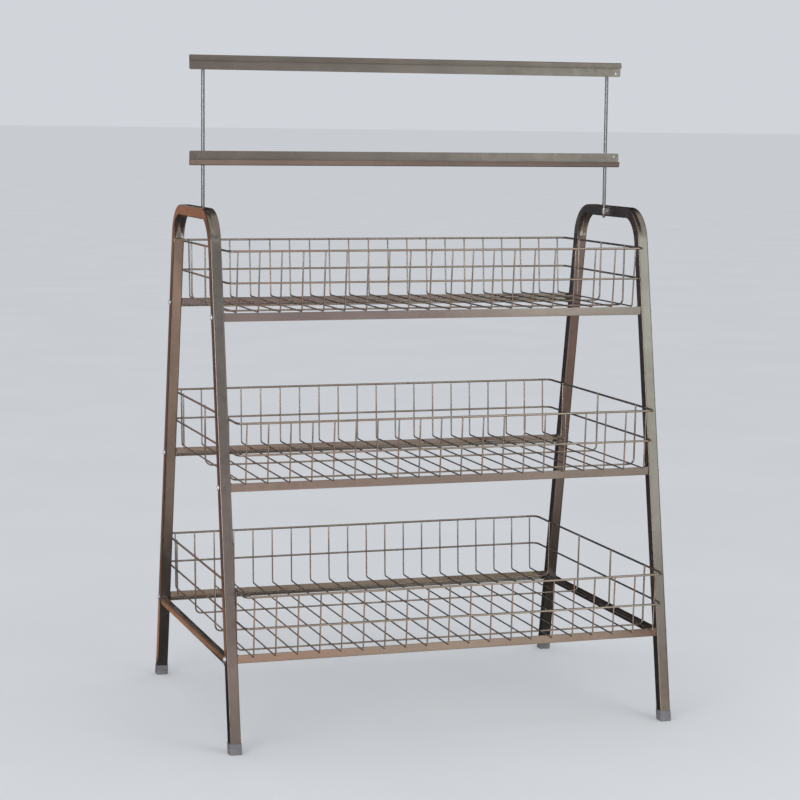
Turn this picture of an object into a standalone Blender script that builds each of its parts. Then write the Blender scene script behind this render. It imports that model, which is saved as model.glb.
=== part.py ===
"""Three-tier wire basket display stand with a sign holder.

Two side frames of bent square tube lean together like the letter A. Six angle rails bolt
between them, three welded wire baskets lie loose on the rails, and two rods clipped to the
frame tops hold a pair of sign channels.

Metres, +Z up. The origin is on the floor in the middle of the stand, X runs along the
baskets and -Y is the front.
"""

from math import atan, cos, floor, pi, radians, sin, sqrt

import bmesh
import bpy
from mathutils import Vector

MM = 0.001

# Overall stand
stand_length = 1053 * MM
stand_height = 1180 * MM
foot_spread = 777 * MM
crown_spread = 365 * MM

# Side frame tube
tube = 25 * MM
tube_wall = 1.5 * MM
tube_corner = 2.6 * MM
bend_radius = 87.5 * MM
crush_depth = 10 * MM
crush_bulge = 0.9 * MM
crush_sink = 3 * MM
bend_steps = 8

# How soon a crush bend's dent is at its depth: 1 is a sine's swell, less is sooner
crush_rise_share = 0.6

# Side brace tube
brace = 16 * MM
brace_wall = 1.5 * MM
brace_corner = 2.2 * MM
brace_inset = 0.7 * MM
brace_drop = 9 * MM

# Plastic foot sleeves
cap_wall = 1.0 * MM
cap_base = 3 * MM
cap_height = 24 * MM

# Angle rails
rail = 19 * MM
rail_sheet = 2 * MM
rail_root = 1.5 * MM
rail_tab = 3 * MM
rail_setback = 4 * MM
top_rail_drop = 227 * MM
bottom_rail_height = 213 * MM

# Rail bolts
bolt_diameter = 6 * MM
bolt_head = 12 * MM
bolt_head_height = 5 * MM
bolt_reach = 4 * MM

# Baskets
top_floor_overhang = 8.2 * MM
middle_floor_overhang = 29.6 * MM
bottom_floor_overhang = 37 * MM
top_rim_flare = 16 * MM
middle_rim_flare = 11 * MM
bottom_rim_flare = 11 * MM
end_flare = 5.5 * MM
basket_height = 137.5 * MM
loop_height = 67 * MM
basket_end_clearance = 2.5 * MM
rim_wire = 5 * MM
loop_wire = 4.5 * MM
cross_wire = 3.4 * MM
end_wire = 4 * MM
wire_pitch = 50 * MM
end_wire_margin = 90 * MM
loop_corner = 16 * MM
cross_bend = 7 * MM
end_bend = 13 * MM
weld_set = 0.6 * MM
weld_width = 2.2 * MM
wire_tail = 0.9 * MM

# Sign rods and their clips
rod_diameter = 8 * MM
rod_tip = 5 * MM
rod_taper = 6 * MM
rod_below = 29 * MM
rod_shortfall = 7 * MM
clip_sheet = 1.2 * MM
clip_height = 14 * MM
clip_flange = 12 * MM
clip_screw = 5 * MM
clip_screw_head = 11 * MM
clip_screw_head_height = 4 * MM
clip_screw_length = 10 * MM

# Sign channels
channel_overhang = 3.5 * MM
channel_height = 33 * MM
channel_lip = 12.5 * MM
channel_depth = 6 * MM
channel_sheet = 1 * MM
channel_corner = 4 * MM
channel_hole = 5 * MM
channel_hole_inset = 12 * MM
channel_hole_edge = 7.5 * MM
sign_top = 342 * MM
sign_drop = 249 * MM

# Fits
seat_gap = 0.3 * MM
overrun = 2 * MM

# Facets
corner_steps = 2
hole_sides = 8
head_sides = 10
rod_sides = 12
rim_sides = 6
loop_corner_steps = 3
fold_steps = 6
saddle_steps = 6

# Wires that run the length of each basket
top_end_wire_count = 3
middle_end_wire_count = 3
bottom_end_wire_count = 4

# The side of a square wire for the diameter of a round one of the same area
square_wire_share = sqrt(pi) / 2

leg_slope = (foot_spread - crown_spread) / 2 / stand_height
leg_tilt = atan(leg_slope)
frame_outside = stand_length / 2
frame_inside = frame_outside - tube
frame_middle = frame_outside - tube / 2

left_right = {"left": -1, "right": 1}
front_back = {"front": -1, "back": 1}
top_rail_height = stand_height - top_rail_drop
tiers = {
    "top": {
        "rail_height": top_rail_height,
        "floor_overhang": top_floor_overhang,
        "rim_flare": top_rim_flare,
        "end_wire_count": top_end_wire_count,
    },
    "middle": {
        "rail_height": (top_rail_height + bottom_rail_height) / 2,
        "floor_overhang": middle_floor_overhang,
        "rim_flare": middle_rim_flare,
        "end_wire_count": middle_end_wire_count,
    },
    "bottom": {
        "rail_height": bottom_rail_height,
        "floor_overhang": bottom_floor_overhang,
        "rim_flare": bottom_rim_flare,
        "end_wire_count": bottom_end_wire_count,
    },
}


def rail_height(tier):
    """Height of the top edge of a tier's rails."""
    return tiers[tier]["rail_height"]


def leg_face(z):
    """Distance from the middle plane to the outer face of a leg at height z."""
    return foot_spread / 2 - leg_slope * z


def leg_middle(z):
    """Distance from the middle plane to the middle line of a leg at height z."""
    return leg_face(z) - tube / 2 / cos(leg_tilt)


def bolt_height(tier):
    """The bolts sit at the middle of the rail's height."""
    return rail_height(tier) - rail / 2


def rail_face(tier):
    """Distance from the middle plane to the outer face of a tier's rails."""
    return leg_face(bolt_height(tier)) - rail_setback


def clip_level():
    """Height of the rod clips, half way up the frame's top tube."""
    return stand_height - tube / 2


def clip_reach():
    """Distance from a rod's axis to the outside of its clip's saddle."""
    return rod_diameter / 2 + seat_gap + clip_sheet


def clip_screw_depth():
    """The clip's screw sits in the middle of its flange, in front of the rod."""
    return -clip_reach() - clip_flange / 2


# Colours, linear

paint_colour = (0.262, 0.232, 0.205, 1)
wire_colour = (0.300, 0.262, 0.228, 1)
channel_colour = (0.215, 0.212, 0.190, 1)
plate_colour = (0.700, 0.690, 0.660, 1)
cap_colour = (0.200, 0.200, 0.212, 1)


def material(name, colour, metallic, roughness):
    made = bpy.data.materials.new(name)
    made.use_nodes = True
    shader = made.node_tree.nodes["Principled BSDF"]
    shader.inputs["Base Color"].default_value = colour
    shader.inputs["Metallic"].default_value = metallic
    shader.inputs["Roughness"].default_value = roughness
    return made


# Building blocks


def add_object(name, mesh, finish, location=(0, 0, 0), parent=None):
    made = bpy.data.objects.new(name, mesh)
    made.location = location
    made.parent = parent
    if finish:
        mesh.materials.append(finish)
    bpy.context.scene.collection.objects.link(made)
    return made


def add_empty(name, location):
    made = bpy.data.objects.new(name, None)
    made.location = location
    bpy.context.scene.collection.objects.link(made)
    return made


def finish_mesh(shape, name, smooth_angle=radians(32)):
    """Turn a bmesh into a mesh with outward faces, smooth where the surface is round."""
    bmesh.ops.recalc_face_normals(shape, faces=shape.faces[:])
    mesh = bpy.data.meshes.new(name)
    shape.to_mesh(mesh)
    shape.free()
    mesh.shade_smooth()
    mesh.set_sharp_from_angle(angle=smooth_angle)
    return mesh


def loft(shape, rings, closed=False, capped=True):
    """Skin a row of rings that all have the same number of points."""
    rows = []
    for ring in rings:
        rows.append([shape.verts.new(point) for point in ring])
    pairs = list(zip(rows, rows[1:]))
    if closed:
        pairs.append((rows[-1], rows[0]))
    for row, following in pairs:
        for i in range(len(row)):
            j = (i + 1) % len(row)
            shape.faces.new((row[i], row[j], following[j], following[i]))
    if capped and not closed:
        shape.faces.new(rows[0])
        shape.faces.new(rows[-1])


def extrude_outline(shape, outline, direction):
    """A prism from a flat outline and the vector of its length."""
    loft(shape, [outline, [point + direction for point in outline]])


def add_box(shape, low, high):
    """A box between two corners."""
    outline = [
        Vector((low[0], low[1], low[2])),
        Vector((high[0], low[1], low[2])),
        Vector((high[0], high[1], low[2])),
        Vector((low[0], high[1], low[2])),
    ]
    extrude_outline(shape, outline, Vector((0, 0, high[2] - low[2])))


def add_turned(shape, profile, start, axis, sides):
    """Turn a profile of (distance along the axis, radius) pairs round an axis."""
    along = axis.normalized()
    across = along.orthogonal().normalized()
    upward = along.cross(across)
    rings = []
    for distance, radius in profile:
        ring = []
        for i in range(sides):
            angle = 2 * pi * i / sides
            ring.append(start + along * distance + (across * cos(angle) + upward * sin(angle)) * radius)
        rings.append(ring)
    loft(shape, rings)


def rounded_square(half, corner):
    """Points (across, outward) of a square section, with a point in the middle of the outer
    and the inner face."""
    points = []
    for quarter in range(4):
        centre_angle = pi / 4 + quarter * pi / 2
        centre_across = (half - corner) * (1 if cos(centre_angle) > 0 else -1)
        centre_out = (half - corner) * (1 if sin(centre_angle) > 0 else -1)
        for step in range(corner_steps + 1):
            angle = quarter * pi / 2 + step * pi / 2 / corner_steps
            points.append((centre_across + corner * cos(angle), centre_out + corner * sin(angle)))
        if quarter == 0:
            points.append((0, half))
        if quarter == 2:
            points.append((0, -half))
    return points


def hole_radius(diameter):
    """Radius of a hole's corners, so that its flat sides clear a shaft by the seat gap."""
    return (diameter / 2 + seat_gap) / cos(pi / hole_sides)


def crushed(points, amount):
    """The section inside a crush bend: the inner face folds in, the sides swell and the
    outer face sinks along its middle."""
    shaped = []
    for across, out in points:
        if across == 0 and out < 0:
            out += crush_depth * amount
        elif across == 0:
            out -= crush_sink * amount
        elif out < 0:
            across += (1 if across > 0 else -1) * crush_bulge * amount
        shaped.append((across, out))
    return shaped


def add_modifier(target, operand, operation, whole=False):
    cut = target.modifiers.new(operand.name, "BOOLEAN")
    cut.object = operand
    cut.operation = operation
    cut.solver = "EXACT"
    cut.use_self = whole
    operand.hide_render = True
    operand.display_type = "WIRE"


def cut_with(target, cutter):
    add_modifier(target, cutter, "DIFFERENCE")


def join_with(target, other, whole=False):
    add_modifier(target, other, "UNION", whole)


# Side frames


def leg_ring(section, side, z):
    """A level slice through a leg. The side is -1 for the front leg and 1 for the back leg."""
    middle = leg_middle(z)
    ring = []
    for across, out in section:
        ring.append(Vector((across, side * (middle + out / cos(leg_tilt)), z)))
    return ring


def bend_ring(section, side, angle):
    """A slice square to the tube, where the outer face has turned by an angle from level."""
    centre_height = stand_height - bend_radius
    centre_depth = leg_face(centre_height) - bend_radius / cos(leg_tilt)
    ring = []
    for across, out in section:
        reach = bend_radius - tube / 2 + out
        depth = side * (centre_depth + reach * sin(angle))
        ring.append(Vector((across, depth, centre_height + reach * cos(angle))))
    return ring


def frame_rings(half, corner):
    """Slices from the front foot, over the top, to the back foot."""
    section = rounded_square(half, corner)
    foot = cap_base + seat_gap
    turn = pi / 2 - leg_tilt
    front = [leg_ring(section, -1, foot)]
    back = [leg_ring(section, 1, foot)]
    for step in range(bend_steps + 1):
        share = step / bend_steps
        shaped = crushed(section, sin(pi * share) ** crush_rise_share)
        front.append(bend_ring(shaped, -1, turn * (1 - share)))
        back.append(bend_ring(shaped, 1, turn * (1 - share)))
    return front + back[::-1]


def frame_mesh():
    """The bent tube: an outer skin and an inner skin that meet at the open feet."""
    shape = bmesh.new()
    outer = frame_rings(tube / 2, tube_corner)
    inner = frame_rings(tube / 2 - tube_wall, tube_corner - tube_wall)
    loft(shape, outer + inner[::-1], closed=True)
    return finish_mesh(shape, "side_frame")


def frame_holes(name, side):
    """Cutters for the bolt holes through both walls, and the clip screw's hole in one wall."""
    shape = bmesh.new()
    start_x = side * (frame_inside - overrun)
    along = Vector((side, 0, 0))
    for tier in tiers:
        height = bolt_height(tier)
        for depth_side in front_back.values():
            start = Vector((start_x, depth_side * leg_middle(height), height))
            radius = hole_radius(bolt_diameter)
            profile = [(0, radius), (tube + 2 * overrun, radius)]
            add_turned(shape, profile, start, along, hole_sides)
    start = Vector((start_x, clip_screw_depth(), clip_level()))
    radius = hole_radius(clip_screw)
    add_turned(shape, [(0, radius), (tube_wall + 2 * overrun, radius)], start, along, hole_sides)
    return add_object("holes_" + name, finish_mesh(shape, "holes_" + name), None)


def make_side_frame(name, side, finish):
    frame = add_object("side_frame_" + name, frame_mesh(), finish, (side * frame_middle, 0, 0))
    cut_with(frame, frame_holes("side_frame_" + name, side))


def brace_ring(section, side, lowest):
    """The brace's end follows the slope of the leg that it is welded to."""
    ring = []
    for across, up in section:
        z = lowest + brace / 2 + up
        reach = leg_face(z) - (tube + seat_gap) / cos(leg_tilt)
        ring.append(Vector((across, side * reach, z)))
    return ring


def make_brace(name, side, finish):
    """A smaller tube between the legs, just under the lowest rails, open at both ends."""
    lowest = rail_height("bottom") - brace_drop - brace
    outer = rounded_square(brace / 2, brace_corner)
    inner = rounded_square(brace / 2 - brace_wall, brace_corner - brace_wall)
    rings = [
        brace_ring(outer, -1, lowest),
        brace_ring(outer, 1, lowest),
        brace_ring(inner, 1, lowest),
        brace_ring(inner, -1, lowest),
    ]
    shape = bmesh.new()
    loft(shape, rings, closed=True)
    middle = side * (frame_outside - brace_inset - brace / 2)
    add_object("side_brace_" + name, finish_mesh(shape, "side_brace"), finish, (middle, 0, 0))


def make_foot_cap(name, side, depth_side, finish):
    """A sleeve with a level base, over the foot of a leg."""
    inside = tube / 2 + seat_gap
    inner = rounded_square(inside, tube_corner + seat_gap)
    outer = rounded_square(inside + cap_wall, tube_corner + seat_gap + cap_wall)
    rings = [
        leg_ring(outer, depth_side, 0),
        leg_ring(outer, depth_side, cap_height),
        leg_ring(inner, depth_side, cap_height),
        leg_ring(inner, depth_side, cap_base),
    ]
    shape = bmesh.new()
    loft(shape, rings)
    add_object("foot_cap_" + name, finish_mesh(shape, "foot_cap"), finish, (side * frame_middle, 0, 0))


# Rails


def rail_outline():
    """The angle's section as (inward, up) pairs: upright flange outside, level flange below,
    with a small round root between them."""
    points = [(0, 0), (rail, 0), (rail, rail_sheet)]
    root_centre = rail_sheet + rail_root
    for step in range(corner_steps + 1):
        angle = -pi / 2 - step * pi / 2 / corner_steps
        points.append((root_centre + rail_root * cos(angle), root_centre + rail_root * sin(angle)))
    points += [(rail_sheet, rail), (0, rail)]
    return points


def make_rail(tier, name, side, finish):
    """An angle with a bolting tab welded into each end."""
    half_length = frame_inside - seat_gap
    face = rail_face(tier)
    outline = []
    for inward, up in rail_outline():
        outline.append(Vector((-half_length, side * (face - inward), up)))
    node = "rail_%s_%s" % (tier, name)
    base = (0, 0, rail_height(tier) - rail)
    shape = bmesh.new()
    extrude_outline(shape, outline, Vector((2 * half_length, 0, 0)))
    made = add_object(node, finish_mesh(shape, node), finish, base)
    join_with(made, rail_tabs(node, face, side, half_length, base))
    cut_with(made, rail_holes(node, tier, side, half_length, base))


def rail_tabs(node, face, side, half_length, base):
    """Square tabs that fill the angle's ends, let a little way into both flanges."""
    shape = bmesh.new()
    let_in = rail_sheet / 2
    depths = sorted((side * (face - let_in), side * (face - rail)))
    for end in left_right.values():
        ends = sorted((end * half_length, end * (half_length - rail_tab)))
        add_box(shape, (ends[0], depths[0], let_in), (ends[1], depths[1], rail))
    return add_object("tabs_" + node, finish_mesh(shape, "tabs_" + node), None, base)


def rail_holes(node, tier, side, half_length, base):
    shape = bmesh.new()
    radius = hole_radius(bolt_diameter)
    for end in left_right.values():
        start = Vector((end * (half_length - rail_tab - overrun), 0, 0))
        start.y = side * leg_middle(bolt_height(tier))
        start.z = rail / 2
        profile = [(0, radius), (rail_tab + 2 * overrun, radius)]
        add_turned(shape, profile, start, Vector((end, 0, 0)), hole_sides)
    return add_object("holes_" + node, finish_mesh(shape, "holes_" + node), None, base)


def bolt_mesh():
    """A button head bolt along X, its head at +X and its bearing face at x = 0."""
    shank = bolt_diameter / 2
    head = bolt_head / 2
    reach = tube + 2 * seat_gap + rail_tab + bolt_reach
    profile = [
        (-reach, shank),
        (0, shank),
        (0, head),
        (bolt_head_height / 3, head),
        (bolt_head_height, head / 2),
    ]
    shape = bmesh.new()
    add_turned(shape, profile, Vector((0, 0, 0)), Vector((1, 0, 0)), head_sides)
    return finish_mesh(shape, "rail_bolt")


def make_bolts(finish):
    mesh = bolt_mesh()
    mesh.materials.append(finish)
    for tier in tiers:
        height = bolt_height(tier)
        for name, side in front_back.items():
            for end_name, end in left_right.items():
                node = "bolt_%s_%s_%s" % (tier, name, end_name)
                place = (end * (frame_outside + seat_gap), side * leg_middle(height), height)
                made = add_object(node, mesh, None, place)
                made.rotation_euler = (0, 0, 0 if end > 0 else pi)


# Baskets


def u_wire_line(top_half, floor_half, top, bottom, bend):
    """Stations of a wire bent to a U, as (along, up, outward along, outward up)."""
    lean = (top_half - floor_half) / (top - bottom)
    tilt = atan(lean)
    centre_up = bottom + bend
    centre_along = floor_half - bend * (1 - sin(tilt)) / cos(tilt)
    half = [(top_half, top, cos(tilt), -sin(tilt))]
    for step in range(corner_steps + 1):
        angle = -tilt - (pi / 2 - tilt) * step / corner_steps
        reach_along = bend * cos(angle)
        reach_up = bend * sin(angle)
        half.append((centre_along + reach_along, centre_up + reach_up, cos(angle), sin(angle)))
    other = [(-along, up, -out_along, out_up) for along, up, out_along, out_up in half]
    return half + other[::-1]


def add_u_wire(shape, stations, offset, half, lengthwise):
    """A square-sectioned U wire. It runs along X when lengthwise, otherwise along Y."""
    rings = []
    for along, up, out_along, out_up in stations:
        ring = []
        for across, out in ((half, half), (-half, half), (-half, -half), (half, -half)):
            run = along + out * out_along
            aside = offset + across
            height = up + out * out_up
            ring.append(Vector((run, aside, height)) if lengthwise else Vector((aside, run, height)))
        rings.append(ring)
    loft(shape, rings)


def add_loop(shape, half_length, half_depth, height, radius):
    """A level loop of wire with rounded corners."""
    rings = []
    quarter_signs = ((1, 1), (-1, 1), (-1, -1), (1, -1))
    for quarter, (sign_x, sign_y) in enumerate(quarter_signs):
        centre_x = sign_x * (half_length - loop_corner)
        centre_y = sign_y * (half_depth - loop_corner)
        for step in range(loop_corner_steps + 1):
            angle = quarter * pi / 2 + step * pi / 2 / loop_corner_steps
            ring = []
            for i in range(rim_sides):
                turn = 2 * pi * (i + 1 / 2) / rim_sides
                reach = loop_corner + radius * cos(turn)
                place = (centre_x + reach * cos(angle), centre_y + reach * sin(angle))
                ring.append(Vector((place[0], place[1], height + radius * sin(turn))))
            rings.append(ring)
    loft(shape, rings, closed=True)


def cross_places():
    """Places along X of the U wires that run from front to back."""
    length = 2 * (rim_half_length() - end_flare)
    count = floor(length / wire_pitch) + 1
    return [(i - (count - 1) / 2) * wire_pitch for i in range(count)]


def end_places(tier):
    """Places along Y of the U wires that run the length of the basket."""
    count = tiers[tier]["end_wire_count"]
    pitch = 2 * (floor_half_depth(tier) - end_wire_margin) / (count - 1)
    return [(i - (count - 1) / 2) * pitch for i in range(count)]


def floor_half_depth(tier):
    """Half depth of the basket's floor, which passes the rails in front and behind."""
    return rail_face(tier) + tiers[tier]["floor_overhang"]


def rim_half_length():
    return frame_inside - basket_end_clearance - rim_wire / 2


def basket_sizes(tier):
    """Places of the wires in one basket, with zero height at the top of its rails."""
    cross_half = cross_wire / 2 * square_wire_share
    end_half = end_wire / 2 * square_wire_share
    rim_flat = rim_wire / 2 * cos(pi / rim_sides)
    sizes = {"cross_half": cross_half, "end_half": end_half}
    sizes["rim_length"] = rim_half_length()
    sizes["floor_depth"] = floor_half_depth(tier)
    sizes["rim_depth"] = sizes["floor_depth"] + tiers[tier]["rim_flare"]
    sizes["cross_floor"] = seat_gap + cross_half
    sizes["end_floor"] = -end_half
    sizes["cross_top"] = sizes["rim_depth"] - rim_flat - cross_half + weld_set
    sizes["end_top"] = sizes["rim_length"] - rim_flat - end_half + weld_set
    sizes["floor_length"] = sizes["rim_length"] - end_flare
    return sizes


def wall_at(top_half, floor_half, bottom, height):
    """Half size of a leaning wall of wires at some height."""
    lean = (top_half - floor_half) / (basket_height - bottom)
    return floor_half + (height - bottom) * lean


def basket_loops(tier, sizes, base):
    """The rim and the loop half way up, both outside the upright wires."""
    shape = bmesh.new()
    add_loop(shape, sizes["rim_length"], sizes["rim_depth"], basket_height, rim_wire / 2)
    wall_depth = wall_at(sizes["cross_top"], sizes["floor_depth"], sizes["cross_floor"], loop_height)
    wall_length = wall_at(sizes["end_top"], sizes["floor_length"], sizes["end_floor"], loop_height)
    loop_flat = loop_wire / 2 * cos(pi / rim_sides)
    loop_depth = wall_depth + sizes["cross_half"] + seat_gap + loop_flat
    loop_length = wall_length + sizes["end_half"] + seat_gap + loop_flat
    add_loop(shape, loop_length, loop_depth, loop_height, loop_wire / 2)
    sizes["wall_depth"] = wall_depth
    sizes["wall_length"] = wall_length
    name = "loops_" + tier
    return add_object(name, finish_mesh(shape, name), None, base)


def add_welds(shape, tier, sizes):
    """Weld nuggets that tie the middle loop and the lengthwise wires to the outermost wires."""
    size = weld_width / 2
    bite = weld_width / 4
    places = cross_places()
    for x in (places[0], places[-1]):
        for side in front_back.values():
            near = sizes["wall_depth"] + sizes["cross_half"]
            depths = sorted((side * (near - bite), side * (near + seat_gap + bite)))
            low = (x - size, depths[0], loop_height - size)
            high = (x + size, depths[1], loop_height + size)
            add_box(shape, low, high)
    for y in end_places(tier):
        for end in left_right.values():
            near = sizes["wall_length"] + sizes["end_half"]
            lengths = sorted((end * (near - bite), end * (near + seat_gap + bite)))
            low = (lengths[0], y - size, loop_height - size)
            high = (lengths[1], y + size, loop_height + size)
            add_box(shape, low, high)
        for x in (places[0], places[-1]):
            add_box(shape, (x - size, y - size, -bite), (x + size, y + size, seat_gap + bite))


def make_basket(tier, finish):
    base = (0, 0, rail_height(tier))
    sizes = basket_sizes(tier)
    loops = basket_loops(tier, sizes, base)
    shape = bmesh.new()
    top = basket_height + wire_tail
    lean = (sizes["cross_top"] - sizes["floor_depth"]) / (basket_height - sizes["cross_floor"])
    end_lean = (sizes["end_top"] - sizes["floor_length"]) / (basket_height - sizes["end_floor"])
    cross_top = sizes["cross_top"] + lean * wire_tail
    cross = u_wire_line(cross_top, sizes["floor_depth"], top, sizes["cross_floor"], cross_bend)
    for x in cross_places():
        add_u_wire(shape, cross, x, sizes["cross_half"], False)
    end_top = sizes["end_top"] + end_lean * wire_tail
    ends = u_wire_line(end_top, sizes["floor_length"], top, sizes["end_floor"], end_bend)
    for y in end_places(tier):
        add_u_wire(shape, ends, y, sizes["end_half"], True)
    add_welds(shape, tier, sizes)
    basket = add_object("basket_" + tier, finish_mesh(shape, "basket_" + tier), finish, base)
    join_with(basket, loops, whole=True)


# Sign holder


def rod_offset():
    """Distance of the rods' axes from the middle of the stand, against the frame's inside."""
    return frame_inside - seat_gap - rod_diameter / 2


def make_rods(finish, holder):
    """Plated rods with tapered tips, just behind the channels."""
    low = stand_height - rod_below
    length = rod_below + sign_top - rod_shortfall
    radius = rod_diameter / 2
    profile = [(0, rod_tip / 2), (rod_taper, radius), (length, radius)]
    for name, side in left_right.items():
        shape = bmesh.new()
        start = Vector((side * rod_offset(), 0, low - clip_level()))
        add_turned(shape, profile, start, Vector((0, 0, 1)), rod_sides)
        add_object("sign_rod_" + name, finish_mesh(shape, "sign_rod"), finish, parent=holder)


def channel_outline():
    """The folded sheet's section as (forward, down) pairs, from the back wall's free edge,
    over the round fold, to the edge of the lip. Down is measured from the fold."""
    outer = channel_depth / 2
    inner = outer - channel_sheet
    fold = []
    inner_fold = []
    for step in range(fold_steps + 1):
        angle = pi - step * pi / fold_steps
        fold.append((outer + outer * cos(angle), outer - outer * sin(angle)))
        inner_fold.append((outer + inner * cos(angle), outer - inner * sin(angle)))
    points = [(0, channel_height)] + fold + [(channel_depth, channel_lip)]
    points += [(channel_depth - channel_sheet, channel_lip)] + inner_fold[::-1]
    points += [(channel_sheet, channel_height)]
    return points


def make_channel(name, top, down, finish, holder):
    """A J-shaped channel. It opens downward when down is 1 and upward when down is -1."""
    back = -rod_diameter / 2 - seat_gap
    half_length = frame_outside + channel_overhang
    outline = []
    for forward, drop in channel_outline():
        outline.append(Vector((-half_length, back - forward, top - down * drop)))
    shape = bmesh.new()
    extrude_outline(shape, outline, Vector((2 * half_length, 0, 0)))
    node = "sign_channel_" + name
    made = add_object(node, finish_mesh(shape, node), finish, parent=holder)
    edge = top - down * channel_height
    cut_with(made, channel_cutters(node, half_length, back, edge, down, holder))


def channel_cutters(node, half_length, back, edge, down, holder):
    """Cutters for the hole near each end and for the back wall's rounded free corners."""
    shape = bmesh.new()
    for side in left_right.values():
        end = side * half_length
        start = Vector((end - side * channel_hole_inset, back + overrun, edge + down * channel_hole_edge))
        profile = [(0, channel_hole / 2), (channel_sheet + 2 * overrun, channel_hole / 2)]
        add_turned(shape, profile, start, Vector((0, -1, 0)), hole_sides)
        outline = [
            Vector((end + side * overrun, back + overrun, edge - down * overrun)),
            Vector((end + side * overrun, back + overrun, edge + down * channel_corner)),
        ]
        corner_x = end - side * channel_corner
        corner_z = edge + down * channel_corner
        for step in range(2 * corner_steps + 1):
            angle = step * pi / 2 / (2 * corner_steps)
            x = corner_x + side * channel_corner * cos(angle)
            z = corner_z - down * channel_corner * sin(angle)
            outline.append(Vector((x, back + overrun, z)))
        outline.append(Vector((corner_x, back + overrun, edge - down * overrun)))
        extrude_outline(shape, outline, Vector((0, -channel_sheet - 2 * overrun, 0)))
    return add_object("cutters_" + node, finish_mesh(shape, "cutters_" + node), None, parent=holder)


def clip_outline(side):
    """The clip's section seen from above: a flange on the tube's inner face, then a saddle
    round the rod that ends against the tube again."""
    rod_x = rod_offset()
    outer = clip_reach()
    inner = outer - clip_sheet
    wall = frame_inside - seat_gap
    points = [(wall, -outer - clip_flange), (wall, -inner)]
    for step in range(saddle_steps + 1):
        angle = -pi / 2 - step * pi / saddle_steps
        points.append((rod_x + inner * cos(angle), inner * sin(angle)))
    points += [(wall, inner), (wall, outer)]
    for step in range(saddle_steps + 1):
        angle = pi / 2 + step * pi / saddle_steps
        points.append((rod_x + outer * cos(angle), outer * sin(angle)))
    points += [(wall - clip_sheet, -outer), (wall - clip_sheet, -outer - clip_flange)]
    return [(side * x, y) for x, y in points]


def make_clip(name, side, finish):
    low = clip_level() - clip_height / 2
    outline = [Vector((x, y, low)) for x, y in clip_outline(side)]
    shape = bmesh.new()
    extrude_outline(shape, outline, Vector((0, 0, clip_height)))
    node = "rod_clip_" + name
    made = add_object(node, finish_mesh(shape, node), finish)
    shape = bmesh.new()
    start = Vector((side * (frame_inside - clip_sheet - overrun), clip_screw_depth(), clip_level()))
    radius = hole_radius(clip_screw)
    profile = [(0, radius), (clip_sheet + 2 * overrun, radius)]
    add_turned(shape, profile, start, Vector((side, 0, 0)), hole_sides)
    cut_with(made, add_object("holes_" + node, finish_mesh(shape, "holes_" + node), None))


def make_clip_screw(name, side, finish):
    """A domed screw through the clip's flange into the tube's inner wall."""
    face = frame_inside - seat_gap - clip_sheet - seat_gap
    shank = clip_screw / 2
    head = clip_screw_head / 2
    profile = [
        (-clip_screw_head_height, head / 2),
        (-clip_screw_head_height / 3, head),
        (0, head),
        (0, shank),
        (clip_screw_length, shank),
    ]
    shape = bmesh.new()
    place = Vector((side * face, clip_screw_depth(), clip_level()))
    add_turned(shape, profile, Vector((0, 0, 0)), Vector((side, 0, 0)), head_sides)
    node = "rod_clip_screw_" + name
    add_object(node, finish_mesh(shape, node), finish, place)


def build():
    for old in list(bpy.data.objects):
        bpy.data.objects.remove(old, do_unlink=True)
    paint = material("frame_paint", paint_colour, 0.25, 0.45)
    wire_paint = material("wire_paint", wire_colour, 0.25, 0.40)
    channel_paint = material("channel_paint", channel_colour, 0.2, 0.5)
    zinc = material("zinc_plate", plate_colour, 1, 0.3)
    plastic = material("cap_plastic", cap_colour, 0, 0.5)
    for name, side in left_right.items():
        make_side_frame(name, side, paint)
        make_brace(name, side, paint)
        for depth_name, depth_side in front_back.items():
            make_foot_cap(depth_name + "_" + name, side, depth_side, plastic)
    for tier in tiers:
        for name, side in front_back.items():
            make_rail(tier, name, side, paint)
        make_basket(tier, wire_paint)
    make_bolts(zinc)
    holder = add_empty("sign_holder_slide", (0, 0, clip_level()))
    make_rods(zinc, holder)
    upper_top = stand_height + sign_top - clip_level()
    make_channel("upper", upper_top, 1, channel_paint, holder)
    make_channel("lower", upper_top - sign_drop, -1, channel_paint, holder)
    for name, side in left_right.items():
        make_clip(name, side, zinc)
        make_clip_screw(name, side, zinc)


build()
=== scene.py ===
"""The looks of the three-tier wire basket display stand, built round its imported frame.

Metres, +Z up. X runs along the baskets and -Y is the front.
"""

import random
from math import atan, cos, exp, floor, pi, radians, sin

import bmesh
import bpy
from mathutils import Matrix, Vector


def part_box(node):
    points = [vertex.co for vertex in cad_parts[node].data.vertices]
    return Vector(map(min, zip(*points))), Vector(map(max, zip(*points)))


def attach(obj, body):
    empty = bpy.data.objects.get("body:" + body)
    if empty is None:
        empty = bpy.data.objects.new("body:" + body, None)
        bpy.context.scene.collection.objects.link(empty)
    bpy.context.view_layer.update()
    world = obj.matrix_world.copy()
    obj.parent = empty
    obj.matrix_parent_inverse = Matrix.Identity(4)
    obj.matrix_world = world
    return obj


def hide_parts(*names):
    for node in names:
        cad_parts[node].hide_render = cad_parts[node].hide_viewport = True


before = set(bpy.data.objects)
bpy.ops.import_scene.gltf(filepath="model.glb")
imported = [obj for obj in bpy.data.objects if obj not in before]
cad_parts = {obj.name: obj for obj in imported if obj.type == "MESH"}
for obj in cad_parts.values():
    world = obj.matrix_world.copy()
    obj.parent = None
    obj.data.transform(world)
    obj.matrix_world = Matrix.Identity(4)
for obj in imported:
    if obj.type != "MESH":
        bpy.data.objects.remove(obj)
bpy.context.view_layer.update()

MM = 0.001
ALONG = Vector((1, 0, 0))
BACK = Vector((0, 1, 0))
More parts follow.
